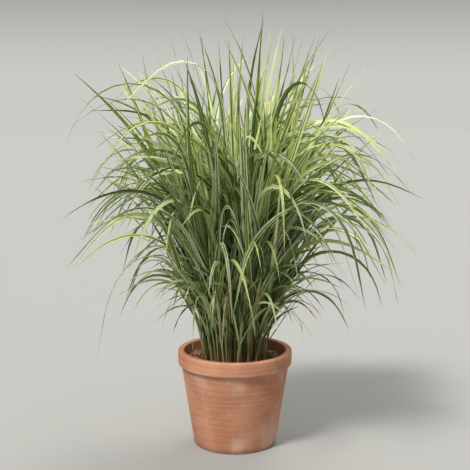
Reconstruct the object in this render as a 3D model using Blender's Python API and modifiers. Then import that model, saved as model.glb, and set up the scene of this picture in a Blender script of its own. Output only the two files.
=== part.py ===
# Potted clump of variegated miscanthus grass.
# A round terracotta pot holds moist soil with a ring of bark mulch on it. Forty shoots stand in
# the soil; each is one solid made of a culm, three arching leaves and the spear leaf at its top.
# Metres, +Z up, the origin under the middle of the pot.
import math
import random

import bmesh
import bpy
from mathutils import Vector
from mathutils.kdtree import KDTree

# Pot
POT_HEIGHT = 0.420
POT_BASE_RADIUS = 0.180
POT_MOUTH_RADIUS = 0.250        # outside of the rim band
BAND_HEIGHT = 0.062
BAND_STEP = 0.012
WALL = 0.015
FLOOR = 0.018
DRAIN_HOLES = 4
DRAIN_RADIUS = 0.012
DRAIN_CIRCLE = 0.105
POT_SIDES = 32

# Soil and mulch
GAP = 0.0003                    # between two pieces that touch
SOIL_TOP = 0.355
MULCH_TOP = 0.386
MULCH_INNER_RADIUS = 0.142
SOCKET_DEPTH = 0.040

# Grass
SHOOTS = 40
CLUMP_RADIUS = 0.122
CULM_LENGTH = 0.88
CULM_WIDTH = 0.0085
SHEATH = 0.03                   # of the culm's length, where a leaf leaves it
BLADE_THICKNESS = 0.0018
GOLDEN_ANGLE = math.pi * (3 - math.sqrt(5))
NODES = 8                       # leaf places on one culm; the last is the spear
SOLID_NODES = (1, 3, 5)         # the side leaves that are solids
BLADE_CUTS = (0.0, 0.28, 0.48, 0.66, 0.84, 1.0)
CLEARANCE = 0.0155              # between the middle lines of two shoots' leaves
OWN_CLEARANCE = 0.012           # between the free parts of one shoot's own leaves
TRIES = 400


# ------------------------------------------------------------------ growth rule
def mix(a, b, t):
    return a + (b - a) * t


def smooth(a, b, x):
    t = min(1.0, max(0.0, (x - a) / (b - a)))
    return t * t * (3 - 2 * t)


def grow_shoot(number, attempt=0):
    """A shoot's place in the clump, its lean and its height; the outer ones lean out and are shorter."""
    rng = random.Random(number * 1000 + attempt)
    share = math.sqrt((number - 0.5) / SHOOTS)
    azimuth = number * GOLDEN_ANGLE + rng.uniform(-0.2, 0.2)
    out = Vector((math.cos(azimuth), math.sin(azimuth), 0))
    lean = math.radians(1 + 12.5 * share ** 1.2 + rng.uniform(-1.5, 1.5))
    length = CULM_LENGTH * (1 - 0.22 * share ** 2) * rng.uniform(0.92, 1.06)
    root = out * CLUMP_RADIUS * share + Vector((0, 0, SOIL_TOP))
    return dict(number=number, share=share, azimuth=azimuth, out=out, lean=math.tan(lean), length=length, root=root)


def culm_point(shoot, t):
    """A point of the culm's middle line; t is 0 at the soil and 1 at the last leaf collar."""
    reach = shoot["length"] * shoot["lean"] * (0.6 * t + 0.4 * t * t)
    return shoot["root"] + shoot["out"] * reach + Vector((0, 0, shoot["length"] * t))


def grow_leaf(shoot, node, attempt=0):
    """One leaf's habit: where it leaves the culm, its heading, its bend and its size."""
    rng = random.Random((shoot["number"] * NODES + node) * 1000 + attempt)
    f = node / (NODES - 1)
    slope = math.atan(shoot["lean"] * (0.6 + 0.8 * f))
    if node == NODES - 1:
        heading = shoot["azimuth"] + rng.uniform(-0.8, 0.8)
        end = slope + math.radians(rng.choice((2, 4, 8, 12, 20, 45)))
        return dict(at=1.0, heading=heading, start=slope, end=end, bend=(0.2, 1.0),
                    length=rng.uniform(0.56, 0.76) * (1 - 0.12 * shoot["share"]),
                    width=rng.uniform(0.014, 0.019), sway=rng.uniform(-0.3, 0.3))
    side = 1 if node % 2 else -1
    turn = side * rng.uniform(0.1, 1.0) ** 1.3 * mix(3.0, 2.1, shoot["share"])
    start = slope * math.cos(turn) + math.radians(mix(15, 9, f) * rng.uniform(0.75, 1.35))
    droop = rng.random()
    if f < 0.3:
        end, length, width = mix(40, 150, droop), rng.uniform(0.34, 0.56), rng.uniform(0.011, 0.016)
    elif f < 0.65:
        end, length, width = mix(45, 168, droop ** 0.75), rng.uniform(0.66, 0.94), rng.uniform(0.014, 0.021)
    else:
        end, length, width = mix(16, 158, droop ** 1.1), rng.uniform(0.66, 0.92), rng.uniform(0.014, 0.021)
    return dict(at=mix(0.12, 0.93, f), heading=shoot["azimuth"] + turn, start=start, end=math.radians(end),
                bend=(rng.uniform(0.1, 0.4), rng.uniform(0.85, 1.1)), length=length, width=width,
                sway=rng.uniform(-0.45, 0.45))


def leaf_frames(shoot, leaf, cuts, steps=48):
    """(middle, across, up) of the blade at each cut, the cuts given as shares of its length."""
    point = culm_point(shoot, leaf["at"])
    frames = []
    for k in range(steps + 1):
        s = k / steps
        angle = mix(leaf["start"], leaf["end"], smooth(*leaf["bend"], s))
        heading = leaf["heading"] + leaf["sway"] * s
        flat = Vector((math.cos(heading), math.sin(heading), 0))
        along = flat * math.sin(angle) + Vector((0, 0, math.cos(angle)))
        across = Vector((flat.y, -flat.x, 0))
        frames.append((point.copy(), across, across.cross(along)))
        point += along * (leaf["length"] / steps)
    return [frames[round(cut * steps)] for cut in cuts]


def blade_width(leaf, s):
    """The blade's full width: a narrow neck, a long even middle and a fine tapering tip."""
    return leaf["width"] * (0.55 + 0.45 * smooth(0, 0.22, s)) * max(0.0, 1 - s ** 2.4) ** 0.85


def line_samples(points, spacing=0.009):
    samples = []
    for a, b in zip(points, points[1:]):
        count = max(1, round((b - a).length / spacing))
        samples += [a.lerp(b, k / count) for k in range(count)]
    return samples + [points[-1]]


def is_free(points, tree, clearance):
    """Whether a line keeps off every line already in the tree."""
    return all((tree.find(p)[2] or 1.0) > clearance for p in points)


def is_over_pot(points):
    """Whether a leaf comes down on the pot's rim or into its mouth."""
    return any(p.z < POT_HEIGHT + 0.02 and math.hypot(p.x, p.y) < POT_MOUTH_RADIUS + 0.02 for p in points)


def tree_of(lines):
    points = [p for line in lines for p in line]
    tree = KDTree(len(points))
    for k, p in enumerate(points):
        tree.insert(p, k)
    tree.balance()
    return tree


def grow_clump():
    """Every shoot with its solid leaves, each one tried again until it stands free of the others."""
    shoots, taken = [], []
    for number in range(1, SHOOTS + 1):
        tree = tree_of(taken)
        for attempt in range(TRIES):
            shoot = grow_shoot(number, attempt)
            line = line_samples([culm_point(shoot, t / 8) for t in range(9)])
            if is_free(line, tree, CLEARANCE):
                break
        shoots.append(shoot)
        taken.append(line)
    for node in (NODES - 1,) + SOLID_NODES:
        for shoot, own in zip(shoots, taken):
            others, selves = tree_of(line for line in taken if line is not own), tree_of([own])
            for attempt in range(TRIES):
                leaf = grow_leaf(shoot, node, attempt)
                line = line_samples([frame[0] for frame in leaf_frames(shoot, leaf, BLADE_CUTS)])
                free_part = line[len(line) // 4:]
                if (is_free(line, others, CLEARANCE) and is_free(free_part, selves, OWN_CLEARANCE)
                        and not is_over_pot(line)):
                    break
            else:
                print("no free place for leaf", node, "of shoot", shoot["number"])
            shoot[node] = leaf
            own += line
    return shoots


# ------------------------------------------------------------------ helpers
def start_again():
    for old in list(bpy.data.objects):
        bpy.data.objects.remove(old)


def add_collection(name, hidden=False):
    collection = bpy.data.collections.new(name)
    bpy.context.scene.collection.children.link(collection)
    collection.hide_render = hidden
    return collection


def add_material(name, color, roughness):
    material = bpy.data.materials.new(name)
    material.use_nodes = True
    shader = material.node_tree.nodes["Principled BSDF"]
    shader.inputs["Base Color"].default_value = (*color, 1)
    shader.inputs["Roughness"].default_value = roughness
    return material


def add_object(name, bm, collection, material=None):
    mesh = bpy.data.meshes.new(name)
    bm.to_mesh(mesh)
    bm.free()
    if material:
        mesh.materials.append(material)
    piece = bpy.data.objects.new(name, mesh)
    collection.objects.link(piece)
    return piece


def turned(name, profile, collection, material, closed=False):
    """A solid of revolution from (radius, height) points, run down its outer side."""
    bm = bmesh.new()
    verts = [bm.verts.new((radius, 0, height)) for radius, height in profile]
    for a, b in zip(verts, verts[1:]):
        bm.edges.new((a, b))
    if closed:
        bm.edges.new((verts[-1], verts[0]))
    piece = add_object(name, bm, collection, material)
    screw = piece.modifiers.new("Turn", "SCREW")
    screw.axis = "Z"
    screw.steps = POT_SIDES
    screw.render_steps = POT_SIDES
    screw.use_merge_vertices = True
    screw.merge_threshold = 0.00001
    screw.use_normal_calculate = False
    return piece


def cut_away(piece, cutter):
    cutter.display_type = "WIRE"
    cut = piece.modifiers.new("Cut", "BOOLEAN")
    cut.operation = "DIFFERENCE"
    cut.solver = "EXACT"
    cut.object = cutter


def blade_section(frame, width):
    """A blade's four corners by their (across, up) signs."""
    middle, across, up = frame
    rise = up * BLADE_THICKNESS
    return {(i, j): middle + (across * width * i + rise * j) / 2 for i in (-1, 1) for j in (-1, 1)}


def culm_stations(shoot):
    """(t, turn, drop) up the culm: its foot, the foot and collar of each sheath, its last collar.

    The turn brings one flat side of the culm square to the leaf that leaves it there."""
    turn = shoot[SOLID_NODES[0]]["heading"]
    stations = [(0, turn, SOCKET_DEPTH)]
    for node in SOLID_NODES + (NODES - 1,):
        turn += math.remainder(shoot[node]["heading"] - turn, math.pi / 2)
        if node < NODES - 1:
            stations.append((shoot[node]["at"] - SHEATH, turn, 0))
        stations.append((shoot[node]["at"], turn, 0))
    return stations


def facing(turn):
    """(across, up) of a culm's section, level, for a leaf that leaves it on that heading."""
    out = Vector((math.cos(turn), math.sin(turn), 0))
    return out.cross(Vector((0, 0, 1))), out


def culm_section(shoot, t, turn, drop, grown=0.0):
    """The culm's four corners at a station."""
    middle = culm_point(shoot, t) - Vector((0, 0, drop))
    half = CULM_WIDTH * mix(1.0, 0.78, t) / 2 + grown
    across, out = facing(turn)
    return {(i, j): middle + (across * i + out * j) * half for i in (-1, 1) for j in (-1, 1)}


def add_rod(bm, low, high):
    """A closed rod from one four-cornered section up to another; gives its top face."""
    verts = bmesh.ops.create_cube(bm, size=2)["verts"]
    top = {v for v in verts if v.co.z > 0}
    for vert in verts:
        vert.co = (high if vert in top else low)[(round(vert.co.x), round(vert.co.y))]
    return next(face for vert in top for face in vert.link_faces if set(face.verts) == top)


def extend(bm, face, corners, across, up):
    """Pushes a face out to the four corners given, each vertex to the corner on its own side."""
    middle = face.calc_center_median()
    face = bmesh.ops.extrude_discrete_faces(bm, faces=[face])["faces"][0]
    ranked = sorted(face.verts, key=lambda v: (v.co - middle).dot(up))
    for j, pair in ((-1, ranked[:2]), (1, ranked[2:])):
        for i, vert in zip((-1, 1), sorted(pair, key=lambda v: (v.co - middle).dot(across))):
            vert.co = corners[(i, j)]
    return face


def add_blade(bm, face, shoot, leaf):
    """Draws a leaf out of a face of its culm and ends it in a point."""
    frames = leaf_frames(shoot, leaf, BLADE_CUTS)
    for cut, frame in zip(BLADE_CUTS[1:-1], frames[1:-1]):
        face = extend(bm, face, blade_section(frame, blade_width(leaf, cut)), *frame[1:])
    tip = bmesh.ops.poke(bm, faces=[face])["verts"][0]
    tip.co = frames[-1][0]


# ------------------------------------------------------------------ build
start_again()
parts = add_collection("Potted miscanthus")
cutters = add_collection("Cutters", hidden=True)
terracotta = add_material("terracotta", (0.55, 0.25, 0.14), 0.85)
earth = add_material("soil", (0.055, 0.035, 0.022), 0.95)
bark = add_material("bark", (0.20, 0.09, 0.05), 0.90)
grass = add_material("leaf", (0.36, 0.46, 0.18), 0.55)
shoots = grow_clump()

# The pot, thrown in one piece: a tapered wall, a thick rim band and a flat floor with drain holes.
band_foot = POT_HEIGHT - BAND_HEIGHT
wall_top = POT_MOUTH_RADIUS - BAND_STEP
mouth = wall_top - WALL
inner_foot = POT_BASE_RADIUS - WALL
profile = [(0, FLOOR), (inner_foot, FLOOR), (mouth, POT_HEIGHT - 0.004), (mouth + 0.004, POT_HEIGHT),
           (POT_MOUTH_RADIUS - 0.005, POT_HEIGHT), (POT_MOUTH_RADIUS, POT_HEIGHT - 0.006),
           (POT_MOUTH_RADIUS - 0.001, band_foot + 0.005), (POT_MOUTH_RADIUS - 0.005, band_foot),
           (wall_top - 0.002, band_foot - 0.002), (POT_BASE_RADIUS + 0.001, 0.006), (POT_BASE_RADIUS - 0.004, 0), (0, 0)]
pot = turned("pot", profile, parts, terracotta)
bm = bmesh.new()
for k in range(DRAIN_HOLES):
    angle = (k + 0.5) * math.tau / DRAIN_HOLES
    made = bmesh.ops.create_cone(bm, cap_ends=True, segments=12, radius1=DRAIN_RADIUS, radius2=DRAIN_RADIUS, depth=0.1)
    offset = Vector((math.cos(angle), math.sin(angle), 0)) * DRAIN_CIRCLE
    bmesh.ops.translate(bm, verts=made["verts"], vec=offset)
cut_away(pot, add_object("drain_cutter", bm, cutters))


def inner_radius(height):
    """The pot's inside at a height, on the straight line from its floor to its lip."""
    return mix(inner_foot, mouth, (height - FLOOR) / (POT_HEIGHT - 0.004 - FLOOR))


# The soil fills the pot up to its top and has a socket for the foot of every shoot.
fit = GAP * 1.5
soil = turned("soil", [(0, SOIL_TOP), (inner_radius(SOIL_TOP) - fit, SOIL_TOP),
                       (inner_radius(FLOOR + GAP) - fit, FLOOR + GAP), (0, FLOOR + GAP)], parts, earth)
bm = bmesh.new()
for shoot in shoots:
    (foot, turn, depth), (first, _, _) = culm_stations(shoot)[:2]
    add_rod(bm, culm_section(shoot, foot, turn, depth + GAP, GAP), culm_section(shoot, first, turn, 0, GAP))
cut_away(soil, add_object("socket_cutter", bm, cutters))

# The mulch, a ring of loose bark lying on the soil round the clump and rising a little to the wall.
bed = SOIL_TOP + GAP
turned("mulch", [(MULCH_INNER_RADIUS, bed), (MULCH_INNER_RADIUS + 0.006, MULCH_TOP - 0.010),
                 (MULCH_INNER_RADIUS + 0.028, MULCH_TOP), (inner_radius(MULCH_TOP - 0.004) - fit, MULCH_TOP - 0.004),
                 (inner_radius(bed) - fit, bed)], parts, bark, closed=True)

# The shoots: a culm drawn up from its foot in the soil, three leaves out of its sides, a spear on top.
for shoot in shoots:
    bm = bmesh.new()
    stations = culm_stations(shoot)
    top = add_rod(bm, culm_section(shoot, *stations[0]), culm_section(shoot, *stations[1]))
    sheaths = []
    for station in stations[2:]:
        top = extend(bm, top, culm_section(shoot, *station), *facing(station[1]))
        sheaths.append([face for edge in top.edges for face in edge.link_faces if face is not top])
    bm.normal_update()
    for node, faces in zip(SOLID_NODES, sheaths[::2]):
        out = facing(shoot[node]["heading"])[1]
        add_blade(bm, max(faces, key=lambda f: f.normal.dot(out)), shoot, shoot[node])
    add_blade(bm, top, shoot, shoot[NODES - 1])
    add_object("tiller_%02d" % shoot["number"], bm, parts, grass)
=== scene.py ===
import math
import random

import bmesh
import bpy
import numpy as np
from mathutils import Matrix, Vector, noise
from mathutils.kdtree import KDTree


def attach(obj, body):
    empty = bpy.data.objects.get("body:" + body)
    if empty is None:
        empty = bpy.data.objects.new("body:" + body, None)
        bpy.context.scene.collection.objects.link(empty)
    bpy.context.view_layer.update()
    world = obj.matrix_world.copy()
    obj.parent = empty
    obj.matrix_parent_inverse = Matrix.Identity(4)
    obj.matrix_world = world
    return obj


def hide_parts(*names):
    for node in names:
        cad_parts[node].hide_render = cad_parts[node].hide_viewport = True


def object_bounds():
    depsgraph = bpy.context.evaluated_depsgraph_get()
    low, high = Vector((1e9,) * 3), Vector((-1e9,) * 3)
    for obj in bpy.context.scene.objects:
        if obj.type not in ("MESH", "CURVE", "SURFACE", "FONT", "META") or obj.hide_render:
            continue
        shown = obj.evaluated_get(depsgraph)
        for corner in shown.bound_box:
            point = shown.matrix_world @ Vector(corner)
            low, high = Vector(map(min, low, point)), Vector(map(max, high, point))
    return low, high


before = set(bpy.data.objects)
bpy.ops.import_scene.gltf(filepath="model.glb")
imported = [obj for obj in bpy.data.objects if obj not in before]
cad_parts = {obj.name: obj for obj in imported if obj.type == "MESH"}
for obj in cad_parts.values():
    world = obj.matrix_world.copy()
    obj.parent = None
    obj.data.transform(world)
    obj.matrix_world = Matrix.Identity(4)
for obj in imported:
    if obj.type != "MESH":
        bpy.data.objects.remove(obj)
cad_box = [list(corner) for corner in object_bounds()]

# ------------------------------------------------------------------ the pot
# A plain tapered terracotta pot, thrown in one piece on a wheel, with a thick rim band and four
# drain holes in its flat foot. The clay is unglazed, so it shows throwing rings, paler and darker
# firing, chalky lime where water dries out of it, and damp near the foot.
POT_HEIGHT = 0.420
POT_FOOT_RADIUS = 0.180
POT_MOUTH_RADIUS = 0.250
POT_WALL = 0.015
POT_FLOOR = 0.018
BAND_HEIGHT = 0.062
BAND_STEP = 0.012
BAND_TAPER = 0.001
NECK_IN, NECK_DOWN = 0.0015, 0.001      # the small undercut where the wall meets the band
FOOT_SPREAD = 0.0005
POT_ROUNDINGS = (0.010, 0.006, 0.007, 0.005, 0.002, 0.004)  # from the floor over the lip down
POT_STRETCH = 0.012
POT_STEPS = 128
WAVER_DEPTH, WAVER_SCALE = 0.0007, 6    # thrown by hand, the wall wavers a little
RING_DEPTH, RING_SCALE = 0.0004, 70
TRUE_RADIUS, TRUE_HEIGHT = 0.05, 0.01   # the wheel head keeps the foot true
DRAIN_HOLES = 4
DRAIN_RADIUS = 0.012
DRAIN_CIRCLE = 0.105
DRAIN_OUTER, DRAIN_INNER = 1.1, 0.98    # each hole widens outwards by these shares of its radius
DRILL_LENGTH = 0.06
DRILL_SIDES = 32
SHARP_POT = 40

CLAY_PALE, CLAY_DEEP = (0.56, 0.255, 0.145), (0.385, 0.150, 0.080)
CLAY_CLOUDS, CLAY_SPECKS = 5.0, 160.0
RING_PALE = (0.62, 0.33, 0.21)
RING_STRETCH = (1.5, 1.5, 130.0)
RING_LEVELS, RING_STRENGTH = (0.35, 0.75), 0.35
DRIFT_SCALE, DRIFT_STRETCH = 9.0, (1, 1, 0.6)
LIME_WHITE = (0.66, 0.50, 0.42)
LIME_LEVELS, LIME_STRENGTH = (0.60, 0.80), 0.42
LOW_LIME, LOW_LIME_SHARE = (0.17, 0.03), 0.16   # the heights where it starts and where it is full
HIGH_LIME_FOOT, HIGH_LIME_TOP, HIGH_LIME_SHARE = (0.26, 0.352), (0.385, 0.355), 0.13
DAMP_DARK = (0.20, 0.085, 0.05)
DAMP_LINE, DAMP_RAGGED, DAMP_STRENGTH = (0.055, 0.025), 0.05, 0.55
CLAY_ROUGHNESS, LIME_ROUGHNESS = 0.72, 0.2
CLAY_RELIEF, RING_RELIEF_SHARE, SPECK_RELIEF_SHARE = 0.0016, 0.7, 0.35


def rounded(points, radii, steps=5):
    """A profile with its corners turned into short curves, each cut back by its radius."""
    out = [points[0]]
    for before, corner, after, radius in zip(points, points[1:], points[2:], radii):
        corner = Vector(corner)
        start = corner + (Vector(before) - corner).normalized() * radius
        end = corner + (Vector(after) - corner).normalized() * radius
        for k in range(steps + 1):
            t = k / steps
            out.append(tuple(start.lerp(corner, t).lerp(corner.lerp(end, t), t)))
    return out + [points[-1]]


def closely(points, longest):
    """A profile with points added, so that no stretch of it is longer than asked."""
    out = [points[0]]
    for a, b in zip(points, points[1:]):
        a, b = Vector(a), Vector(b)
        count = max(1, math.ceil((b - a).length / longest))
        out += [tuple(a.lerp(b, (k + 1) / count)) for k in range(count)]
    return out


def turn_on_wheel(profile, steps):
    """A closed solid of revolution from (radius, height) points."""
    bm = bmesh.new()
    verts = [bm.verts.new((radius, 0, height)) for radius, height in profile]
    edges = [bm.edges.new(pair) for pair in zip(verts, verts[1:])]
    if profile[0][0] > 0:
        edges.append(bm.edges.new((verts[-1], verts[0])))
    bmesh.ops.spin(bm, geom=verts + edges, axis=(0, 0, 1), cent=(0, 0, 0), steps=steps,
                   angle=math.tau, use_merge=True)
    bmesh.ops.remove_doubles(bm, verts=bm.verts[:], dist=1e-6)
    bmesh.ops.recalc_face_normals(bm, faces=bm.faces[:])
    return bm


def add_piece(name, mesh, material, node):
    """Shows a mesh as a piece of the object that stands for a node of the frame."""
    mesh.materials.append(material)
    piece = bpy.data.objects.new(name, mesh)
    bpy.context.scene.collection.objects.link(piece)
    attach(piece, "root")
    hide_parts(node)
    return piece


def smooth_mesh(name, bm, sharp_degrees):
    """The bmesh as a mesh, shaded smooth but for its sharp corners."""
    mesh = bpy.data.meshes.new(name)
    bm.to_mesh(mesh)
    bm.free()
    mesh.shade_smooth()
    mesh.set_sharp_from_angle(angle=math.radians(sharp_degrees))
    return mesh


def node(tree, kind, inputs, **settings):
    """A shader node; an input that is a socket is linked, and any other value is set."""
    made = tree.nodes.new(kind)
    for name, value in settings.items():
        setattr(made, name, value)
    for key, value in inputs.items():
        if isinstance(value, bpy.types.NodeSocket):
            tree.links.new(value, made.inputs[key])
        else:
            made.inputs[key].default_value = value
    return made


def calc(tree, operation, *values):
    return node(tree, "ShaderNodeMath", dict(enumerate(values)), operation=operation).outputs[0]


def times(tree, a, b):
    return calc(tree, "MULTIPLY", a, b)


def plus(tree, a, b):
    return calc(tree, "ADD", a, b)


def fade(tree, value, low, high):
    """0 below low, 1 above high and a soft step between; low may be the larger one."""
    ends = {"Value": value, "From Min": low, "From Max": high}
    return node(tree, "ShaderNodeMapRange", ends, interpolation_type="SMOOTHSTEP").outputs[0]


def tint(tree, share, a, b, blend_type="MIX"):
    """A colour between a and b; the share, a and b may each be a socket."""
    inputs = {0: share, 6: a if isinstance(a, bpy.types.NodeSocket) else (*a, 1),
              7: b if isinstance(b, bpy.types.NodeSocket) else (*b, 1)}
    return node(tree, "ShaderNodeMix", inputs, data_type="RGBA", blend_type=blend_type).outputs[2]


def cloud(tree, place, scale, detail=2.0, stretch=(1, 1, 1)):
    """Even random clouding, from 0 to 1 about 0.5, stretched along the axes asked."""
    if stretch != (1, 1, 1):
        place = node(tree, "ShaderNodeMapping", {"Vector": place, "Scale": stretch}).outputs[0]
    inputs = {"Vector": place, "Scale": scale, "Detail": detail}
    return node(tree, "ShaderNodeTexNoise", inputs).outputs[0]


def new_material(name):
    """A material, its node tree, its Principled shader and its Object coordinates."""
    material = bpy.data.materials.new(name)
    material.use_nodes = True
    tree = material.node_tree
    place = node(tree, "ShaderNodeTexCoord", {}).outputs["Object"]
    return material, tree, tree.nodes["Principled BSDF"], place


def height_of(tree, place):
    return node(tree, "ShaderNodeSeparateXYZ", {"Vector": place}).outputs[2]


def set_relief(tree, shader, height, depth):
    bump = node(tree, "ShaderNodeBump", {"Height": height, "Distance": depth, "Strength": 1.0})
    tree.links.new(bump.outputs[0], shader.inputs["Normal"])


def new_group(name, inputs, outputs):
    """A shader node group with named sockets, its input node and its output node."""
    group = bpy.data.node_groups.new(name, "ShaderNodeTree")
    for title, kind, value in inputs:
        made = group.interface.new_socket(title, in_out="INPUT", socket_type="NodeSocket" + kind)
        if value is not None:
            made.default_value = value
    for title, kind in outputs:
        group.interface.new_socket(title, in_out="OUTPUT", socket_type="NodeSocket" + kind)
    return group, group.nodes.new("NodeGroupInput"), group.nodes.new("NodeGroupOutput")


# The uneven colour of anything fired, weathered or damp: broad clouds, small blotches and specks.
CLOUD_EDGES = (0.32, 0.68)
SPECK_STRENGTH = 0.8
weathering, given, result = new_group(
    "Weathering",
    [("Place", "Vector", None), ("Pale", "Color", (1, 1, 1, 1)), ("Deep", "Color", (0, 0, 0, 1)),
     ("Cloud scale", "Float", 5.0), ("Speck scale", "Float", 150.0)],
    [("Color", "Color"), ("Specks", "Float")])
clouds = node(weathering, "ShaderNodeTexNoise",
              {"Vector": given.outputs["Place"], "Scale": given.outputs["Cloud scale"],
               "Detail": 6.0, "Roughness": 0.6}).outputs[0]
specks = cloud(weathering, given.outputs["Place"], given.outputs["Speck scale"], 3.0)
share = plus(weathering, fade(weathering, clouds, *CLOUD_EDGES),
             times(weathering, calc(weathering, "SUBTRACT", specks, 0.5), SPECK_STRENGTH))
mixed = tint(weathering, share, given.outputs["Deep"], given.outputs["Pale"])
weathering.links.new(mixed, result.inputs["Color"])
weathering.links.new(specks, result.inputs["Specks"])


def weathered(tree, place, pale, deep, cloud_scale, speck_scale):
    """The weathering group in a material; gives its colour and its specks."""
    inputs = {"Place": place, "Pale": (*pale, 1), "Deep": (*deep, 1),
              "Cloud scale": cloud_scale, "Speck scale": speck_scale}
    made = node(tree, "ShaderNodeGroup", inputs, node_tree=weathering)
    return made.outputs["Color"], made.outputs["Specks"]


terracotta, tree, shader, place = new_material("terracotta")
clay, specks = weathered(tree, place, CLAY_PALE, CLAY_DEEP, CLAY_CLOUDS, CLAY_SPECKS)
height = height_of(tree, place)
rings = cloud(tree, place, 1.0, 3.0, RING_STRETCH)
clay = tint(tree, times(tree, fade(tree, rings, *RING_LEVELS), RING_STRENGTH), clay, RING_PALE)
drifts = cloud(tree, place, DRIFT_SCALE, 8.0, DRIFT_STRETCH)
low_lime = times(tree, fade(tree, height, *LOW_LIME), LOW_LIME_SHARE)
high_lime = times(tree, fade(tree, height, *HIGH_LIME_FOOT), fade(tree, height, *HIGH_LIME_TOP))
lime_line = plus(tree, low_lime, times(tree, high_lime, HIGH_LIME_SHARE))
lime = fade(tree, plus(tree, drifts, lime_line), *LIME_LEVELS)
clay = tint(tree, times(tree, lime, LIME_STRENGTH), clay, LIME_WHITE)
damp = fade(tree, plus(tree, height, times(tree, drifts, DAMP_RAGGED)), *DAMP_LINE)
clay = tint(tree, times(tree, damp, DAMP_STRENGTH), clay, DAMP_DARK)
tree.links.new(clay, shader.inputs["Base Color"])
roughness = plus(tree, CLAY_ROUGHNESS, times(tree, lime, LIME_ROUGHNESS))
tree.links.new(roughness, shader.inputs["Roughness"])
relief = plus(tree, times(tree, rings, RING_RELIEF_SHARE),
              times(tree, specks, SPECK_RELIEF_SHARE))
set_relief(tree, shader, relief, CLAY_RELIEF)

band_foot = POT_HEIGHT - BAND_HEIGHT
wall_top = POT_MOUTH_RADIUS - BAND_STEP
mouth = wall_top - POT_WALL
inner_foot = POT_FOOT_RADIUS - POT_WALL
corners = [(0, POT_FLOOR), (inner_foot, POT_FLOOR), (mouth, POT_HEIGHT),
           (POT_MOUTH_RADIUS, POT_HEIGHT), (POT_MOUTH_RADIUS - BAND_TAPER, band_foot),
           (wall_top - NECK_IN, band_foot - NECK_DOWN), (POT_FOOT_RADIUS + FOOT_SPREAD, 0), (0, 0)]
bm = turn_on_wheel(closely(rounded(corners, POT_ROUNDINGS), POT_STRETCH), POT_STEPS)
for vert in bm.verts:
    radius = math.hypot(vert.co.x, vert.co.y)
    if radius > TRUE_RADIUS and vert.co.z > TRUE_HEIGHT:
        ring = noise.noise(Vector((0, 0, vert.co.z * RING_SCALE)))
        waver = WAVER_DEPTH * noise.noise(vert.co * WAVER_SCALE) + RING_DEPTH * ring
        vert.co.x *= 1 + waver / radius
        vert.co.y *= 1 + waver / radius
drill = bmesh.new()
for k in range(DRAIN_HOLES):
    angle = (k + 0.5) * math.tau / DRAIN_HOLES
    made = bmesh.ops.create_cone(drill, cap_ends=True, segments=DRILL_SIDES, depth=DRILL_LENGTH,
                                 radius1=DRAIN_RADIUS * DRAIN_OUTER,
                                 radius2=DRAIN_RADIUS * DRAIN_INNER)
    offset = Vector((math.cos(angle), math.sin(angle), 0)) * DRAIN_CIRCLE
    bmesh.ops.translate(drill, verts=made["verts"], vec=offset)
undrilled = bpy.data.objects.new("undrilled_pot", smooth_mesh("undrilled_pot", bm, SHARP_POT))
drill_bit = bpy.data.objects.new("drill_bit", smooth_mesh("drill_bit", drill, SHARP_POT))
for made in (undrilled, drill_bit):
    bpy.context.scene.collection.objects.link(made)
drilling = undrilled.modifiers.new("Drain holes", "BOOLEAN")
drilling.operation = "DIFFERENCE"
drilling.solver = "EXACT"
drilling.object = drill_bit
drilled = undrilled.evaluated_get(bpy.context.evaluated_depsgraph_get())
mesh = bpy.data.meshes.new_from_object(drilled)
for made in (undrilled, drill_bit):
    bpy.data.objects.remove(made)
mesh.materials.clear()
mesh.set_sharp_from_angle(angle=math.radians(SHARP_POT))
add_piece("terracotta_pot", mesh, terracotta, "pot")


# ------------------------------------------------------------------ the soil
# Dark, moist potting compost that fills the pot. It shows only between the shoots and in the gaps
# of the mulch, where its top is crumbly and uneven.
SOIL_TOP = 0.355
FIT = 0.0005                    # the hair of air between the filling and the wall
FLOOR_FIT = 0.0003
LIP_CURVE = 0.004               # how far below the top the straight inner wall ends
SOIL_STRETCH, SOIL_STEPS = 0.006, 120
SOIL_MARGIN = 0.004             # the rim of the soil lies level against the wall
CLOD_HEIGHT, CLOD_SCALE = 0.004, 55
CRUMB_HEIGHT, CRUMB_SCALE = 0.003, 160
SOIL_SINK = 0.002
SHARP_SOIL = 70

SOIL_PALE, SOIL_DEEP = (0.095, 0.060, 0.038), (0.022, 0.014, 0.009)
SOIL_CLOUDS, SOIL_SPECKS = 60.0, 420.0
SOIL_ROUGH_LEVELS = (0.1, 0.9)
SOIL_RELIEF, RELIEF_SCALE = 0.004, 90.0


def inner_radius(height):
    """The pot's inside at a height, on the straight line from its floor to its lip."""
    rise = (height - POT_FLOOR) / (POT_HEIGHT - LIP_CURVE - POT_FLOOR)
    return inner_foot + (mouth - inner_foot) * rise


compost, tree, shader, place = new_material("compost")
earth, specks = weathered(tree, place, SOIL_PALE, SOIL_DEEP, SOIL_CLOUDS, SOIL_SPECKS)
tree.links.new(earth, shader.inputs["Base Color"])
tree.links.new(fade(tree, specks, *SOIL_ROUGH_LEVELS), shader.inputs["Roughness"])
set_relief(tree, shader, plus(tree, specks, cloud(tree, place, RELIEF_SCALE, 6.0)), SOIL_RELIEF)

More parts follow.
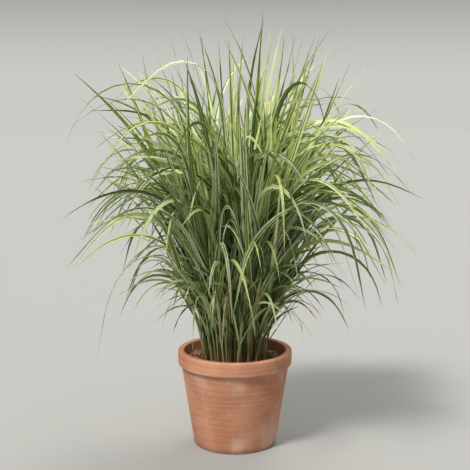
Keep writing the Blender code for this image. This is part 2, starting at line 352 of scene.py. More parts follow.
soil_radius = inner_radius(SOIL_TOP)
top = [(0, SOIL_TOP), (soil_radius - FIT, SOIL_TOP)]
bottom = [(inner_radius(POT_FLOOR) - FIT, POT_FLOOR + FLOOR_FIT), (0, POT_FLOOR + FLOOR_FIT)]
bm = turn_on_wheel(closely(top, SOIL_STRETCH) + bottom, SOIL_STEPS)
for vert in bm.verts:
    radius = math.hypot(vert.co.x, vert.co.y)
    if vert.co.z > SOIL_TOP - 0.001 and radius < soil_radius - SOIL_MARGIN:
        clod = CLOD_HEIGHT * noise.noise(vert.co * CLOD_SCALE)
        vert.co.z += clod + CRUMB_HEIGHT * noise.noise(vert.co * CRUMB_SCALE) - SOIL_SINK
add_piece("potting_soil", smooth_mesh("potting_soil", bm, SHARP_SOIL), compost, "soil")


# ------------------------------------------------------------------ the shoots
# Forty shoots of variegated miscanthus, each a round culm in the sheaths of its leaves. Thin,
# springy blades, keeled and striped in green and cream, arch out on alternate sides, a spear
# carries the shoot on, and two shorter side shoots stand against its foot.
SHOOTS = 40
CLUMP_RADIUS = 0.122
CULM_LENGTH = 0.88
CULM_WIDTH = 0.0085
GOLDEN_ANGLE = math.pi * (3 - math.sqrt(5))
MIDDLE_LEAN, EDGE_LEAN = 1, 12.5        # degrees out: in the middle, and what the edge adds
EDGE_SHORTER = 0.22
CULM_BOW = 0.4                          # the share of a culm's lean that comes as it rises
NODES = 8                               # leaf places on one culm
SPEAR = NODES - 1                       # the last of them
SOLID_NODES = (1, 3, 5)                 # the side leaves that the frame holds
BLADE_CUTS = (0.0, 0.28, 0.48, 0.66, 0.84, 1.0)
LOWEST_LEAF, HIGHEST_LEAF = 0.12, 0.93  # as shares of the culm's length
SPEAR_LEANS = (2, 4, 8, 12, 20, 45)     # degrees that a spear's tip bends further out
SPEAR_LENGTH, SPEAR_WIDTH = (0.56, 0.76), (0.014, 0.019)
LEAF_HABITS = (                         # up the culm: degrees off upright at the tip, and sizes
    dict(below=0.3, hang=(40, 150), ease=1, length=(0.34, 0.56), width=(0.011, 0.016)),
    dict(below=0.65, hang=(45, 168), ease=0.75, length=(0.66, 0.94), width=(0.014, 0.021)),
    dict(below=1.0, hang=(16, 158), ease=1.1, length=(0.66, 0.92), width=(0.014, 0.021)))
CLEARANCE = 0.0155
OWN_CLEARANCE = 0.012
SAMPLE_SPACING = 0.009
RIM_CLEARANCE = 0.02
TRIES = 400


def mix(a, b, t):
    return a + (b - a) * t


def smooth(a, b, x):
    t = min(1.0, max(0.0, (x - a) / (b - a)))
    return t * t * (3 - 2 * t)


def heading_out(angle):
    return Vector((math.cos(angle), math.sin(angle), 0))


def grow_shoot(number, attempt=0):
    """A shoot's place in the clump, lean and height; outer ones lean out and are shorter."""
    rng = random.Random(number * 1000 + attempt)
    share = math.sqrt((number - 0.5) / SHOOTS)
    azimuth = number * GOLDEN_ANGLE + rng.uniform(-0.2, 0.2)
    out = heading_out(azimuth)
    lean = math.radians(MIDDLE_LEAN + EDGE_LEAN * share ** 1.2 + rng.uniform(-1.5, 1.5))
    length = CULM_LENGTH * (1 - EDGE_SHORTER * share ** 2) * rng.uniform(0.92, 1.06)
    root = out * CLUMP_RADIUS * share + Vector((0, 0, SOIL_TOP))
    return dict(number=number, share=share, azimuth=azimuth, out=out, lean=math.tan(lean),
                length=length, root=root)


def culm_point(shoot, t):
    """A point of the culm's middle line; t is 0 at the soil and 1 at the last leaf collar."""
    reach = shoot["length"] * shoot["lean"] * ((1 - CULM_BOW) * t + CULM_BOW * t * t)
    return shoot["root"] + shoot["out"] * reach + Vector((0, 0, shoot["length"] * t))


def grow_leaf(shoot, node, attempt=0):
    """One leaf's habit: where it leaves the culm, its heading, its bend and its size."""
    rng = random.Random((shoot["number"] * NODES + node) * 1000 + attempt)
    f = node / SPEAR
    slope = math.atan(shoot["lean"] * (1 - CULM_BOW + 2 * CULM_BOW * f))
    if node == SPEAR:
        heading = shoot["azimuth"] + rng.uniform(-0.8, 0.8)
        end = slope + math.radians(rng.choice(SPEAR_LEANS))
        return dict(at=1.0, heading=heading, start=slope, end=end, bend=(0.2, 1.0),
                    length=rng.uniform(*SPEAR_LENGTH) * (1 - 0.12 * shoot["share"]),
                    width=rng.uniform(*SPEAR_WIDTH), sway=rng.uniform(-0.3, 0.3))
    side = 1 if node % 2 else -1
    turn = side * rng.uniform(0.1, 1.0) ** 1.3 * mix(3.0, 2.1, shoot["share"])
    opening = math.radians(mix(15, 9, f) * rng.uniform(0.75, 1.35))
    droop = rng.random()
    habit = next(habit for habit in LEAF_HABITS if f < habit["below"])
    length, width = rng.uniform(*habit["length"]), rng.uniform(*habit["width"])
    return dict(at=mix(LOWEST_LEAF, HIGHEST_LEAF, f), heading=shoot["azimuth"] + turn,
                start=slope * math.cos(turn) + opening,
                end=math.radians(mix(*habit["hang"], droop ** habit["ease"])),
                bend=(rng.uniform(0.1, 0.4), rng.uniform(0.85, 1.1)), length=length, width=width,
                sway=rng.uniform(-0.45, 0.45))


def leaf_frames(shoot, leaf, cuts, steps=48):
    """(middle, across, up) of the blade at each cut, the cuts given as shares of its length."""
    point = culm_point(shoot, leaf["at"])
    frames = []
    for k in range(steps + 1):
        s = k / steps
        angle = mix(leaf["start"], leaf["end"], smooth(*leaf["bend"], s))
        flat = heading_out(leaf["heading"] + leaf["sway"] * s)
        along = flat * math.sin(angle) + Vector((0, 0, math.cos(angle)))
        across = Vector((flat.y, -flat.x, 0))
        frames.append((point.copy(), across, across.cross(along)))
        point += along * (leaf["length"] / steps)
    return [frames[round(cut * steps)] for cut in cuts]


def middle_line(shoot, leaf):
    return [middle for middle, _, _ in leaf_frames(shoot, leaf, BLADE_CUTS)]


def blade_width(leaf, s):
    """The blade's full width: a narrow neck, a long even middle and a fine tapering tip."""
    return leaf["width"] * (0.55 + 0.45 * smooth(0, 0.22, s)) * max(0.0, 1 - s ** 2.4) ** 0.85


def line_samples(points):
    samples = []
    for a, b in zip(points, points[1:]):
        count = max(1, round((b - a).length / SAMPLE_SPACING))
        samples += [a.lerp(b, k / count) for k in range(count)]
    return samples + [points[-1]]


def is_free(points, tree, clearance):
    """Whether a line keeps off every line already in the tree."""
    return all((tree.find(p)[2] or 1.0) > clearance for p in points)


def is_over_pot(points):
    """Whether a leaf comes down on the pot's rim or into its mouth."""
    return any(p.z < POT_HEIGHT + RIM_CLEARANCE
               and math.hypot(p.x, p.y) < POT_MOUTH_RADIUS + RIM_CLEARANCE for p in points)


def tree_of(lines):
    points = [p for line in lines for p in line]
    tree = KDTree(len(points))
    for k, p in enumerate(points):
        tree.insert(p, k)
    tree.balance()
    return tree


def grow_clump():
    """Every shoot with its main leaves, each tried again until it stands free of the others."""
    shoots, taken = [], []
    for number in range(1, SHOOTS + 1):
        tree = tree_of(taken)
        for attempt in range(TRIES):
            shoot = grow_shoot(number, attempt)
            line = line_samples([culm_point(shoot, t / 8) for t in range(9)])
            if is_free(line, tree, CLEARANCE):
                break
        shoots.append(shoot)
        taken.append(line)
    for node in (SPEAR,) + SOLID_NODES:
        for shoot, own in zip(shoots, taken):
            others = tree_of(line for line in taken if line is not own)
            selves = tree_of([own])
            for attempt in range(TRIES):
                leaf = grow_leaf(shoot, node, attempt)
                line = line_samples(middle_line(shoot, leaf))
                free_part = line[len(line) // 4:]
                if (is_free(line, others, CLEARANCE) and not is_over_pot(line)
                        and is_free(free_part, selves, OWN_CLEARANCE)):
                    break
            shoot[node] = leaf
            own += line
    return shoots


SIDE_SHOOTS = 2
SIDE_SHOOT_GAP = (0.010, 0.017)
SIDE_SHOOT_HEIGHT = (0.55, 0.92)        # as a share of the shoot that it stands against
SIDE_LEAF_LENGTH = 0.9


def side_shoot(shoot, k):
    """One of the younger, shorter shoots that stand against the foot of another."""
    rng = random.Random(shoot["number"] + 7000 + 100 * k)
    young = dict(shoot, number=shoot["number"] + (2 + k) * SHOOTS)
    turn = shoot["azimuth"] + (-1) ** k * rng.uniform(0.6, 2.2)
    young["root"] = shoot["root"] + heading_out(turn) * rng.uniform(*SIDE_SHOOT_GAP)
    young["azimuth"] = shoot["azimuth"] + rng.uniform(-0.5, 0.5)
    young["out"] = heading_out(young["azimuth"])
    young["lean"] = shoot["lean"] * rng.uniform(0.7, 1.25) + 0.01
    young["length"] = shoot["length"] * rng.uniform(*SIDE_SHOOT_HEIGHT)
    return young


def stays_in(points):
    """Whether a leaf keeps inside the frame's box and off the pot."""
    (x0, y0, _), (x1, y1, z1) = cad_box
    inside = all(x0 < p.x < x1 and y0 < p.y < y1 and p.z < z1 for p in points)
    return inside and not is_over_pot(points)


ARCHING_SPEARS = 0.6                    # shares of the filling leaves that hang out
ARCHING_LOW, ARCHING_HIGH, LOW_NODES = 0.28, 0.62, 3
SPEAR_HANG, LEAF_HANG = (60, 155), (112, 168)   # degrees out of upright at the tip
SPEAR_LONGER, LEAF_LONGER = 1.15, (1.15, 1.45)


def grow_filling_leaf(shoot, node, shorter=1.0):
    """A leaf between the main ones, free to brush them: it hangs well out or stays up."""
    for attempt in range(TRIES):
        leaf = grow_leaf(shoot, node, attempt)
        rng = random.Random((shoot["number"] * NODES + node) * 1000 + attempt + 500)
        leaf["length"] *= shorter
        if node == SPEAR:
            if rng.random() < ARCHING_SPEARS:
                leaf["end"] = math.radians(rng.uniform(*SPEAR_HANG))
                leaf["length"] *= SPEAR_LONGER
        else:
            leaf["at"] += rng.uniform(-0.06, 0.05)
            leaf["start"] += math.radians(rng.uniform(-3, 12))
            if rng.random() < (ARCHING_LOW if node < LOW_NODES else ARCHING_HIGH):
                leaf["heading"] = mix(shoot["azimuth"], leaf["heading"], 0.35)
                leaf["start"] += 0.1
                leaf["end"] = math.radians(rng.uniform(*LEAF_HANG))
                leaf["bend"] = (rng.uniform(0.10, 0.36), rng.uniform(0.84, 1.0))
                leaf["length"] *= rng.uniform(*LEAF_LONGER)
            else:
                leaf["end"] = mix(leaf["start"], leaf["end"], rng.uniform(0.15, 0.6))
        if stays_in(middle_line(shoot, leaf)):
            return leaf


def round_rod(lengths, sides):
    """A closed rod cut into lengths: (t, around x, around y) of each corner, and its faces."""
    bm = bmesh.new()
    bmesh.ops.create_cone(bm, cap_ends=True, segments=sides, radius1=1, radius2=1, depth=2)
    upright = [e for e in bm.edges if abs(e.verts[0].co.z - e.verts[1].co.z) > 1]
    bmesh.ops.subdivide_edges(bm, edges=upright, cuts=lengths - 1, use_grid_fill=True)
    bm.verts.index_update()
    corners = np.array([((v.co.z + 1) / 2, v.co.x, v.co.y) for v in bm.verts])
    return corners, [[v.index for v in face.verts] for face in bm.faces]


BLADE_LENGTHS = 18
BLADE_FORM = round_rod(BLADE_LENGTHS, 4)
TWISTS = (0.6, 0.9, 1.2, 2.2)           # radians, before each leaf's own share of it
TWIST_ENDS = (0.02, 0.70)
SPEAR_BREADTH, LEAF_BREADTH = (0.84, 0.52), (0.64, 0.60)    # at the foot and at the tip
THINNEST_HALF = 0.0003
FOLD_AT_FOOT, FOLD_OPEN, FOLD_ENDS = 1.1, (0.12, 0.42), (0, 0.16)
RIPPLE_HEIGHT, RIPPLED_HALF = 0.0012, 0.002
KEEL_TIP, KEEL_FOOT = 0.0002, 0.0010
COLLAR_SEAT, SPEAR_SEAT, SEAT_ENDS = 0.42, 0.3, (0, 0.12)
CULM_LENGTHS = 14
CULM_FORM = round_rod(CULM_LENGTHS, 6)
CULM_OVER = 1.02                        # it runs on a little into its spear
CULM_BURIED = 0.012
CULM_FOOT_RADIUS, CULM_TAPER, CULM_TIP = 1.15, 0.42, 0.25
SHEATH_STEP, SHEATH_RUN = 0.0009, 0.1
SHARP_LEAF = 50
DRIED_LOWEST, DRIED_AGE = 0.35, 0.9     # the lowest leaf of some stems has died and dried


def along_cuts(station, cuts, value):
    """What a measure of the blade is at each corner, given what it is at each cut."""
    return np.array([value(cut) for cut in cuts])[station]


def lay_blade(shoot, leaf, rng, age):
    """Flattens, bends, folds and twists a four-sided rod into a leaf.
    Gives its corners, UVs, tone, kind and age."""
    s, u, side = BLADE_FORM[0].T
    station = np.rint(s * BLADE_LENGTHS).astype(int)
    cuts = [k / BLADE_LENGTHS for k in range(BLADE_LENGTHS + 1)]
    frames = np.array([[tuple(v) for v in cross]
                       for cross in leaf_frames(shoot, leaf, cuts, BLADE_LENGTHS * 2)])
    middle, across, up = (frames[station, k] for k in range(3))
    turn = rng.choice(TWISTS) * rng.choice((-1, 1)) * rng.uniform(0.3, 1.0)
    turn = turn * along_cuts(station, cuts, lambda cut: smooth(*TWIST_ENDS, cut))
    cosine, sine = np.cos(turn)[:, None], np.sin(turn)[:, None]
    across, up = across * cosine + up * sine, up * cosine - across * sine
    is_spear = leaf["at"] == 1.0
    breadth = SPEAR_BREADTH if is_spear else LEAF_BREADTH
    half = along_cuts(station, cuts, lambda cut: max(
        THINNEST_HALF, blade_width(leaf, cut) * mix(*breadth, cut)))
    opened = rng.uniform(*FOLD_OPEN)
    fold = along_cuts(station, cuts, lambda cut: mix(
        FOLD_AT_FOOT, opened, smooth(*FOLD_ENDS, cut)))
    ripple = np.sin(math.tau * (s * rng.uniform(3, 6) + rng.random()))
    ripple = RIPPLE_HEIGHT * ripple * u * (half > RIPPLED_HALF)
    keel = (KEEL_TIP + KEEL_FOOT * (1 - s)) * np.where(side < -0.5, 1, 0)
    lift = half * np.sin(fold) * np.abs(u) + ripple - keel
    seat = CULM_WIDTH * COLLAR_SEAT * along_cuts(
        station, cuts, lambda cut: 1 - smooth(*SEAT_ENDS, cut))
    if is_spear:
        seat = seat * SPEAR_SEAT
    heading = np.array((math.cos(leaf["heading"]), math.sin(leaf["heading"]), 0))
    points = (middle + across * (half * np.cos(fold) * u)[:, None] + up * lift[:, None]
              + heading * seat[:, None])
    uv = np.stack(((u + 1) / 2, s), 1)
    return points, uv, rng.random(), rng.random(), np.full(len(s), age)


def lay_culm(shoot, collars, rng):
    """Bends the round rod into a culm with the steps where its sheaths end."""
    share, x, y = CULM_FORM[0].T
    t = share * CULM_OVER
    station = np.rint(share * CULM_LENGTHS).astype(int)
    middles = np.array([tuple(culm_point(shoot, CULM_OVER * k / CULM_LENGTHS))
                        for k in range(CULM_LENGTHS + 1)])
    radius = CULM_WIDTH / 2 * (CULM_FOOT_RADIUS - CULM_TAPER * t)
    for collar in collars:
        step = np.clip(1 - (collar - t) / SHEATH_RUN, 0, 1) * (t <= collar)
        radius = radius + SHEATH_STEP * step
    radius = radius * np.where(share > 0.999, CULM_TIP, 1)
    around = np.stack((x * radius, y * radius, -CULM_BURIED * (share < 0.001)), 1)
    uv = np.stack((np.arctan2(y, x) / math.tau + 0.5, t * 1.1 - 0.1), 1)
    age = np.clip(1.3 - t * rng.uniform(1.6, 6), 0, 1) * rng.uniform(0.45, 1.05)
    return middles[station] + around, uv, rng.random(), rng.random(), age


def join_forms(name, laid):
    """One mesh from many laid-out copies of a form; laid holds (form's faces, lay result)."""
    points, faces, uvs = [], [], []
    attributes = {"tone": [], "kind": [], "age": []}
    start = 0
    for form_faces, (corners, uv, *values) in laid:
        points.append(corners)
        faces += [[start + k for k in face] for face in form_faces]
        start += len(corners)
        uvs.append(uv)
        for column, value in zip(attributes.values(), values):
            column.append(np.broadcast_to(value, len(corners)))
    mesh = bpy.data.meshes.new(name)
    mesh.from_pydata(np.concatenate(points).tolist(), [], faces)
    loops = np.empty(len(mesh.loops), np.int32)
    mesh.loops.foreach_get("vertex_index", loops)
    grain = np.concatenate(uvs)[loops].astype(np.float32)
    mesh.uv_layers.new(name="Grain").data.foreach_set("uv", grain.ravel())
    for title, column in attributes.items():
        made = mesh.attributes.new(title, "FLOAT", "POINT")
        made.data.foreach_set("value", np.concatenate(column).astype(np.float32))
    mesh.shade_smooth()
    mesh.set_sharp_from_angle(angle=math.radians(SHARP_LEAF))
    return mesh


# The striping: cream bands that wander slowly along the blade, cream margins on some leaves,
# hair-fine lines between them and a pale midrib.
BAND_COUNT, BAND_DRIFT = 2.1, 0.4       # across the blade, and how fast they wander along it
BAND_LEVEL, BAND_SPREAD = 0.656, -0.24  # how little cream a leaf has, and how that varies by kind
BAND_EDGE = 0.012
MARGIN_INSET, MARGIN_SPREAD, MARGIN_EDGE = 0.36, 0.34, 0.04
MARGINED_KINDS = (0.36, 0.42)
HAIR_COUNT, HAIR_DRIFT, HAIR_LEVEL, HAIR_STRENGTH = 15.0, 0.5, (0.58, 0.64), 0.24
MIDRIB_EDGES, MIDRIB_STRENGTH = (0.09, 0.04), 0.70
VEINS = 13
striping, given, result = new_group(
    "Striping", [(name, "Float", 0.5) for name in ("Across", "Along", "Tone", "Kind")],
    [("Cream", "Float"), ("Veins", "Float")])
across, along, tone, kind = (given.outputs[name] for name in ("Across", "Along", "Tone", "Kind"))


def stripe(count, drift, seed):
    """Random stripes, from 0 to 1; each leaf has its own by its tone."""
    shift = times(striping, tone, 61.0 + seed)
    spot = node(striping, "ShaderNodeCombineXYZ", {
        0: calc(striping, "MULTIPLY_ADD", across, count, shift), 1: times(striping, along, drift),
        2: calc(striping, "MULTIPLY_ADD", tone, 29.0, seed)})
    return cloud(striping, spot.outputs[0], 1.0, 0.0)


edge = calc(striping, "ABSOLUTE", calc(striping, "MULTIPLY_ADD", across, 2.0, -1.0))
level = calc(striping, "MULTIPLY_ADD", kind, BAND_SPREAD, BAND_LEVEL)
above = calc(striping, "SUBTRACT", stripe(BAND_COUNT, BAND_DRIFT, 0.0), level)
bands = fade(striping, above, -BAND_EDGE, BAND_EDGE)
inset = calc(striping, "MULTIPLY_ADD", tone, MARGIN_SPREAD, MARGIN_INSET)
outside = calc(striping, "SUBTRACT", edge, inset)
margins = times(striping, fade(striping, outside, -MARGIN_EDGE, MARGIN_EDGE),
                fade(striping, kind, *MARGINED_KINDS))
hairs = fade(striping, stripe(HAIR_COUNT, HAIR_DRIFT, 5.0), *HAIR_LEVEL)
hairs = times(striping, hairs, HAIR_STRENGTH)
midrib = times(striping, fade(striping, edge, *MIDRIB_EDGES), MIDRIB_STRENGTH)
cream = calc(striping, "MAXIMUM", calc(striping, "MAXIMUM", bands, margins),
             calc(striping, "MAXIMUM", hairs, midrib))
striping.links.new(cream, result.inputs["Cream"])
veins = calc(striping, "SINE", times(striping, across, math.tau * VEINS))
striping.links.new(veins, result.inputs["Veins"])


def read_form(tree, *names):
    """The UV across and along a joined form, and the named attributes of its pieces."""
    grain = node(tree, "ShaderNodeUVMap", {}, uv_map="Grain").outputs[0]
    parts = node(tree, "ShaderNodeSeparateXYZ", {"Vector": grain})
    facts = [node(tree, "ShaderNodeAttribute", {}, attribute_name=name) for name in names]
    return [parts.outputs[0], parts.outputs[1]] + [fact.outputs["Fac"] for fact in facts]


# The first pair of colours is painted shade, for leaves and culms low in the clump; the green, pale
# and yellow pairs after it are the same colours painted as lit, high up.
GREEN_PAINTED_SHADE, PALE_PAINTED_SHADE = (0.013, 0.045, 0.010), (0.51, 0.61, 0.26)
GREEN, PALE = (0.080, 0.180, 0.028), (0.92, 0.96, 0.68)
YELLOW_GREEN, YELLOW_PALE = (0.135, 0.260, 0.013), (0.88, 0.94, 0.38)
STRAW, OLD_STRAW = (0.52, 0.42, 0.20), (0.27, 0.185, 0.080)
# Painted light and shade: between these heights the colours go from the painted-shade pair to the
# lit pairs, each leaf's random tone moving it up or down.
SHADED, LIT, TONE_LIFT = 0.70, 1.80, 0.60       # heights between which the leaves turn lighter
YELLOWED = (0.40, 0.90)
DRY_TIP, DRY_TIP_SHARE, DRY_TIPPED = (0.90, 1.0), 0.75, (0.45, 0.55)
DRIED, BLOTCH_STRENGTH, BLOTCH_SCALE = (0.35, 0.95), 0.3, 26.0
LEAF_ROUGHNESS, CREAM_ROUGHNESS = 0.34, 0.08
LEAF_GLOSS = 0.6
VEIN_RELIEF = 0.00012
GLOW, GLOW_SHARE = (0.97, 1.0, 0.62), 0.34      # the light that comes through a blade

leaf_skin, tree, shader, place = new_material("striped_leaf")
across, along, tone, kind, age = read_form(tree, "tone", "kind", "age")
inputs = {"Across": across, "Along": along, "Tone": tone, "Kind": kind}
stripes = node(tree, "ShaderNodeGroup", inputs, node_tree=striping)
# Painted light and shade: darker low in the clump and lighter high up, by height, shifted at random
# by each leaf's own tone.
lighter = calc(tree, "MULTIPLY_ADD", tone, TONE_LIFT, height_of(tree, place))
painted_light = fade(tree, lighter, SHADED, LIT)
yellower = fade(tree, calc(tree, "FRACT", times(tree, tone, 7.0)), *YELLOWED)
green = tint(tree, painted_light, GREEN_PAINTED_SHADE, tint(tree, yellower, GREEN, YELLOW_GREEN))
pale = tint(tree, painted_light, PALE_PAINTED_SHADE, tint(tree, yellower, PALE, YELLOW_PALE))
skin = tint(tree, stripes.outputs["Cream"], green, pale)
blotch = cloud(tree, place, BLOTCH_SCALE, 4.0)
tip = times(tree, fade(tree, along, *DRY_TIP), fade(tree, tone, *DRY_TIPPED))
dry = calc(tree, "MAXIMUM", age, times(tree, tip, DRY_TIP_SHARE))
old = fade(tree, plus(tree, dry, times(tree, blotch, BLOTCH_STRENGTH)), *DRIED)
skin = tint(tree, old, skin, tint(tree, blotch, STRAW, OLD_STRAW))
tree.links.new(skin, shader.inputs["Base Color"])
roughness = calc(tree, "MULTIPLY_ADD", stripes.outputs["Cream"], CREAM_ROUGHNESS, LEAF_ROUGHNESS)
tree.links.new(roughness, shader.inputs["Roughness"])
shader.inputs["Specular IOR Level"].default_value = LEAF_GLOSS
set_relief(tree, shader, stripes.outputs["Veins"], VEIN_RELIEF)
glow = node(tree, "ShaderNodeBsdfTranslucent", {"Color": tint(tree, 1.0, skin, GLOW, "MULTIPLY")})
both = node(tree, "ShaderNodeMixShader", {0: GLOW_SHARE, 1: shader.outputs[0], 2: glow.outputs[0]})
tree.links.new(both.outputs[0], tree.nodes["Material Output"].inputs["Surface"])

roots = []
for shoot in grow_clump():
    rng = random.Random(shoot["number"] + 500)
    main = [shoot[n] if n in shoot else grow_filling_leaf(shoot, n) for n in range(NODES)]
    stand = [(shoot, main)]
    for k in range(SIDE_SHOOTS):
        young = side_shoot(shoot, k)
        filling = [grow_filling_leaf(young, n, SIDE_LEAF_LENGTH) for n in range(NODES)]
        stand.append((young, filling))
    laid = []
    for stem, leaves in stand:
        lowest = leaves[0]
        leaves = [leaf for leaf in leaves if leaf]
        for leaf in leaves:
            age = DRIED_AGE if leaf is lowest and rng.random() < DRIED_LOWEST else 0.0
            laid.append((BLADE_FORM[1], lay_blade(stem, leaf, rng, age)))
        laid.append((CULM_FORM[1], lay_culm(stem, [leaf["at"] for leaf in leaves], rng)))
        roots.append(stem["root"])
    name = "%02d" % shoot["number"]
    mesh = join_forms("shoot_" + name, laid)
    add_piece("shoot_" + name, mesh, leaf_skin, "tiller_" + name)


# ------------------------------------------------------------------ the mulch
# Shredded conifer bark, laid two fingers deep on the soil round the clump and scattered thinly
# between the shoots: split, bent and frayed chips, from red-brown to tan, on finer dark crumbs.
MULCH_TOP = 0.386
MULCH_INNER_RADIUS = 0.142
BANK_IN, BANK_OUT = 0.004, 0.028        # where the bank starts and ends, either side of that radius
BANK_FOOT, BANK_BELOW = 0.006, 0.004    # above the soil, and below the top
WALL_DIP, WALL_DIP_ENDS = 0.004, (0.19, 0.215)
CHIPS = 1500
LOOSE_CHIPS = 110
SPILL_IN, LOOSE_FROM = 0.006, 0.02
CHIP_FORM = round_rod(5, 4)
CHIP_LENGTH, CHIP_SIZES = (0.011, 0.024), (0.6, 1, 1)   # half the length, and some are split short
CHIP_WIDTH = (0.0018, 0.0052)
CHIP_THICKNESS = (0.0008, 0.0024)
CHIP_CURL = (-0.003, 0.0025)
CHIP_SINK = (0.0, 0.006)
CHIP_PITCH, CHIP_ROLL = 0.16, 0.35
CHIP_FROM_WALL, CHIP_OVER_TOP, CHIP_FROM_CULM = 0.006, 0.004, 0.011
BED_STRETCH, BED_STEPS = 0.005, 150     # the bed of crumbs under the chips
BED_FOOT, BED_DEPTH = 0.0004, 0.010     # above the soil, and below the top of the mulch
BED_START, BED_LIP_OUT, BED_LIP_UP = 0.001, 0.004, 0.008
BED_SHOULDER_OUT, BED_SHOULDER_DEPTH = 0.026, 0.009
BED_STILL_FOOT, BED_STILL_WALL = 0.004, 0.003
COARSE_HEIGHT, COARSE_SCALE = 0.0035, 90
FINE_HEIGHT, FINE_SCALE = 0.0025, 240
CRUMB_GRAIN, CRUMB_TONE, CRUMB_KIND = 18, 0.18, 0.5

BARK_PALE, BARK_DEEP = (0.25, 0.095, 0.045), (0.090, 0.034, 0.018)
BARK_CLOUDS, BARK_SPECKS = 40.0, 500.0
TAN, DARK_BARK = (0.52, 0.285, 0.165), (0.050, 0.024, 0.015)
TAN_TONES, DARK_TONES = (0.62, 1.0), (0.30, 0.0)
FIBRE_COUNT, FIBRE_DRIFT = 14.0, 2.2
FIBRE_PALE, FIBRE_PALE_LEVEL, FIBRE_PALE_SHARE = (0.54, 0.31, 0.20), (0.42, 0.66), 0.42
FIBRE_DEEP, FIBRE_DEEP_LEVEL, FIBRE_DEEP_SHARE = (0.040, 0.018, 0.012), (0.50, 0.30), 0.60
BARK_ROUGHNESS, FIBRE_ROUGHNESS = 0.62, 0.3
BARK_RELIEF, BARK_SPECK_SHARE = 0.0014, 0.4


def mulch_height(radius):
    """The top of the mulch: a soft bank at the clump, then level, a little lower at the wall."""
    bank = smooth(MULCH_INNER_RADIUS - BANK_IN, MULCH_INNER_RADIUS + BANK_OUT, radius)
    level = mix(SOIL_TOP + BANK_FOOT, MULCH_TOP - BANK_BELOW, bank)
    return level - WALL_DIP * smooth(*WALL_DIP_ENDS, radius)


def lay_chip(rng, inner, outer):
    """A splinter of bark turned, tilted and bent to lie in the mulch; None where it would hit."""
    length = rng.uniform(*CHIP_LENGTH) * rng.choice(CHIP_SIZES)
    width = rng.uniform(*CHIP_WIDTH)
    angle, radius = rng.uniform(0, math.tau), math.sqrt(rng.uniform(inner ** 2, outer ** 2))
    middle = Vector((math.cos(angle) * radius, math.sin(angle) * radius, 0))
    middle.z = mulch_height(radius) - rng.uniform(*CHIP_SINK)
    turn = Matrix.Rotation(rng.uniform(0, math.tau), 3, "Z")
    turn = turn @ Matrix.Rotation(rng.gauss(0, CHIP_PITCH), 3, "Y")
    turn = turn @ Matrix.Rotation(rng.gauss(0, CHIP_ROLL), 3, "X")
    reach = turn @ Vector((length, 0, 0))
    for end in (middle - reach, middle, middle + reach):
        if (math.hypot(end.x, end.y) > inner_radius(SOIL_TOP) - CHIP_FROM_WALL
                or end.z > MULCH_TOP + CHIP_OVER_TOP
                or any((end - root).xy.length < CHIP_FROM_CULM for root in roots)):
            return None
    s, x, y = CHIP_FORM[0].T
    s = s * 2 - 1
    ragged = np.array([rng.uniform(0.75, 1.15) for _ in s])
    taper = 1 - rng.uniform(0.2, 0.75) * np.abs(s) ** rng.uniform(1.2, 3)
    along = length * (s + rng.uniform(-0.25, 0.25) * x * np.abs(s))
    across = width * taper * x * ragged
    rise = rng.uniform(*CHIP_THICKNESS) * taper * y * ragged + rng.uniform(*CHIP_CURL) * s ** 2
    points = np.stack((along, across, rise), 1) @ np.array(turn).T + np.array(middle)
    uv = np.stack(((x + y + 2) / 4, s / 2 + 0.5), 1)
    return points, uv, rng.random(), rng.random(), 0.0


bark, tree, shader, place = new_material("shredded_bark")
across, along, tone, kind = read_form(tree, "tone", "kind")
rust, specks = weathered(tree, place, BARK_PALE, BARK_DEEP, BARK_CLOUDS, BARK_SPECKS)
spot = node(tree, "ShaderNodeCombineXYZ", {
    0: calc(tree, "MULTIPLY_ADD", across, FIBRE_COUNT, times(tree, tone, 90.0)),
    1: times(tree, along, FIBRE_DRIFT), 2: kind})
fibres = cloud(tree, spot.outputs[0], 1.0, 3.0)
rust = tint(tree, fade(tree, tone, *TAN_TONES), rust, TAN)
rust = tint(tree, fade(tree, tone, *DARK_TONES), rust, DARK_BARK)
pale_fibres = times(tree, fade(tree, fibres, *FIBRE_PALE_LEVEL), FIBRE_PALE_SHARE)
rust = tint(tree, pale_fibres, rust, FIBRE_PALE)
deep_fibres = times(tree, fade(tree, fibres, *FIBRE_DEEP_LEVEL), FIBRE_DEEP_SHARE)
rust = tint(tree, deep_fibres, rust, FIBRE_DEEP)
tree.links.new(rust, shader.inputs["Base Color"])
roughness = calc(tree, "MULTIPLY_ADD", fibres, FIBRE_ROUGHNESS, BARK_ROUGHNESS)
tree.links.new(roughness, shader.inputs["Roughness"])
set_relief(tree, shader, plus(tree, fibres, times(tree, specks, BARK_SPECK_SHARE)), BARK_RELIEF)

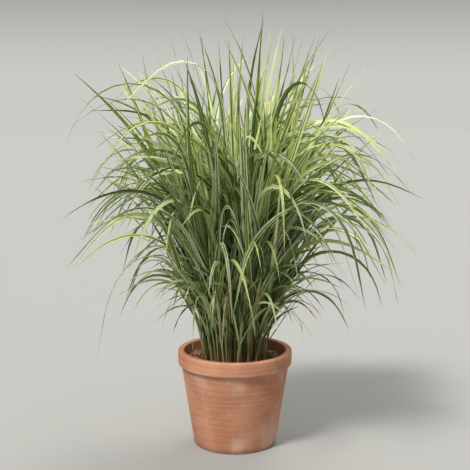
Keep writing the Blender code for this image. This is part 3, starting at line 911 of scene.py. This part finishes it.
rng = random.Random(77)
laid = []
for count, inner, outer in ((CHIPS, MULCH_INNER_RADIUS - SPILL_IN, inner_radius(MULCH_TOP)),
                            (LOOSE_CHIPS, LOOSE_FROM, MULCH_INNER_RADIUS)):
    chips = [lay_chip(rng, inner, outer) for _ in range(count)]
    laid += [(CHIP_FORM[1], chip) for chip in chips if chip]
foot, bed_top = SOIL_TOP + BED_FOOT, MULCH_TOP - BED_DEPTH
bed = [(MULCH_INNER_RADIUS + BED_START, foot),
       (MULCH_INNER_RADIUS + BED_LIP_OUT, foot + BED_LIP_UP),
       (MULCH_INNER_RADIUS + BED_SHOULDER_OUT, MULCH_TOP - BED_SHOULDER_DEPTH),
       (inner_radius(bed_top) - FIT, bed_top)]
bed = closely(bed, BED_STRETCH) + [(inner_radius(SOIL_TOP) - FIT, foot)]
bm = turn_on_wheel(bed, BED_STEPS)
for vert in bm.verts:
    radius = math.hypot(vert.co.x, vert.co.y)
    if vert.co.z > foot + BED_STILL_FOOT and radius < inner_radius(vert.co.z) - BED_STILL_WALL:
        coarse = COARSE_HEIGHT * noise.noise(vert.co * COARSE_SCALE)
        vert.co.z += coarse + FINE_HEIGHT * noise.noise(vert.co * FINE_SCALE)
bm.verts.index_update()
crumbs = np.array([tuple(vert.co) for vert in bm.verts])
faces = [[vert.index for vert in face.verts] for face in bm.faces]
bm.free()
laid.append((faces, (crumbs, crumbs[:, :2] * CRUMB_GRAIN, CRUMB_TONE, CRUMB_KIND, 0.0)))
add_piece("bark_mulch", join_forms("bark_mulch", laid), bark, "mulch")


# ------------------------------------------------------------------ the studio
# A pale floor that runs into a pale sweep, under soft light from high on the left in front, with
# a weaker light behind that shines through the blades.
FLOOR_SIZE = 30
FLOOR_DROP = 0.0005
FLOOR_GREY = (0.300, 0.297, 0.289)
FLOOR_ROUGHNESS = 0.9
HORIZON_GREY, SWEEP_GREY = (0.605, 0.595, 0.562), (0.235, 0.24, 0.24)
OVERHEAD_GREY = (0.66, 0.68, 0.67)
SWEEP_RISE, OVERHEAD_RISE = (0.0, 0.16), (0.25, 0.70)
EYE = Vector((0, -4.2, SOIL_TOP + 1.2))
AIM = Vector((0, 0, 0.925))
VIEW_WIDTH = 2.034632                   # metres that the view takes in at the plant

bm = bmesh.new()
bmesh.ops.create_grid(bm, x_segments=1, y_segments=1, size=FLOOR_SIZE)
bmesh.ops.translate(bm, verts=bm.verts[:], vec=(0, 0, -FLOOR_DROP))
mesh = bpy.data.meshes.new("floor")
bm.to_mesh(mesh)
bm.free()
paving, tree, shader, place = new_material("pale_floor")
shader.inputs["Base Color"].default_value = (*FLOOR_GREY, 1)
shader.inputs["Roughness"].default_value = FLOOR_ROUGHNESS
mesh.materials.append(paving)
floor = bpy.data.objects.new("floor", mesh)
bpy.context.scene.collection.objects.link(floor)


def add_softbox(name, azimuth, elevation, spread, strength, color):
    """Soft, even light from far off; the wider its spread, the softer its shadows."""
    light = bpy.data.lights.new(name, "SUN")
    light.angle = math.radians(spread)
    light.energy = strength
    light.color = color
    lamp = bpy.data.objects.new(name, light)
    lamp.rotation_euler = (math.radians(90 - elevation), 0, math.radians(azimuth))
    bpy.context.scene.collection.objects.link(lamp)


add_softbox("key", azimuth=-38, elevation=54, spread=12, strength=3.7, color=(1.0, 0.975, 0.93))
add_softbox("back", azimuth=155, elevation=58, spread=24, strength=1.5, color=(1.0, 0.985, 0.93))
world = bpy.data.worlds.new("studio")
world.use_nodes = True
tree = world.node_tree
rise = height_of(tree, node(tree, "ShaderNodeTexCoord", {}).outputs["Generated"])
sweep = tint(tree, fade(tree, rise, *SWEEP_RISE), HORIZON_GREY, SWEEP_GREY)
sweep = tint(tree, fade(tree, rise, *OVERHEAD_RISE), sweep, OVERHEAD_GREY)
tree.links.new(sweep, tree.nodes["Background"].inputs[0])
bpy.context.scene.world = world

camera = bpy.data.objects.new("camera", bpy.data.cameras.new("camera"))
camera.location = EYE
camera.rotation_mode = "QUATERNION"
camera.rotation_quaternion = (AIM - EYE).to_track_quat("-Z", "Y")
camera.data.lens = camera.data.sensor_width * (AIM - EYE).length / VIEW_WIDTH
bpy.context.scene.collection.objects.link(camera)
bpy.context.scene.camera = camera
bpy.context.scene.view_settings.view_transform = "Standard"
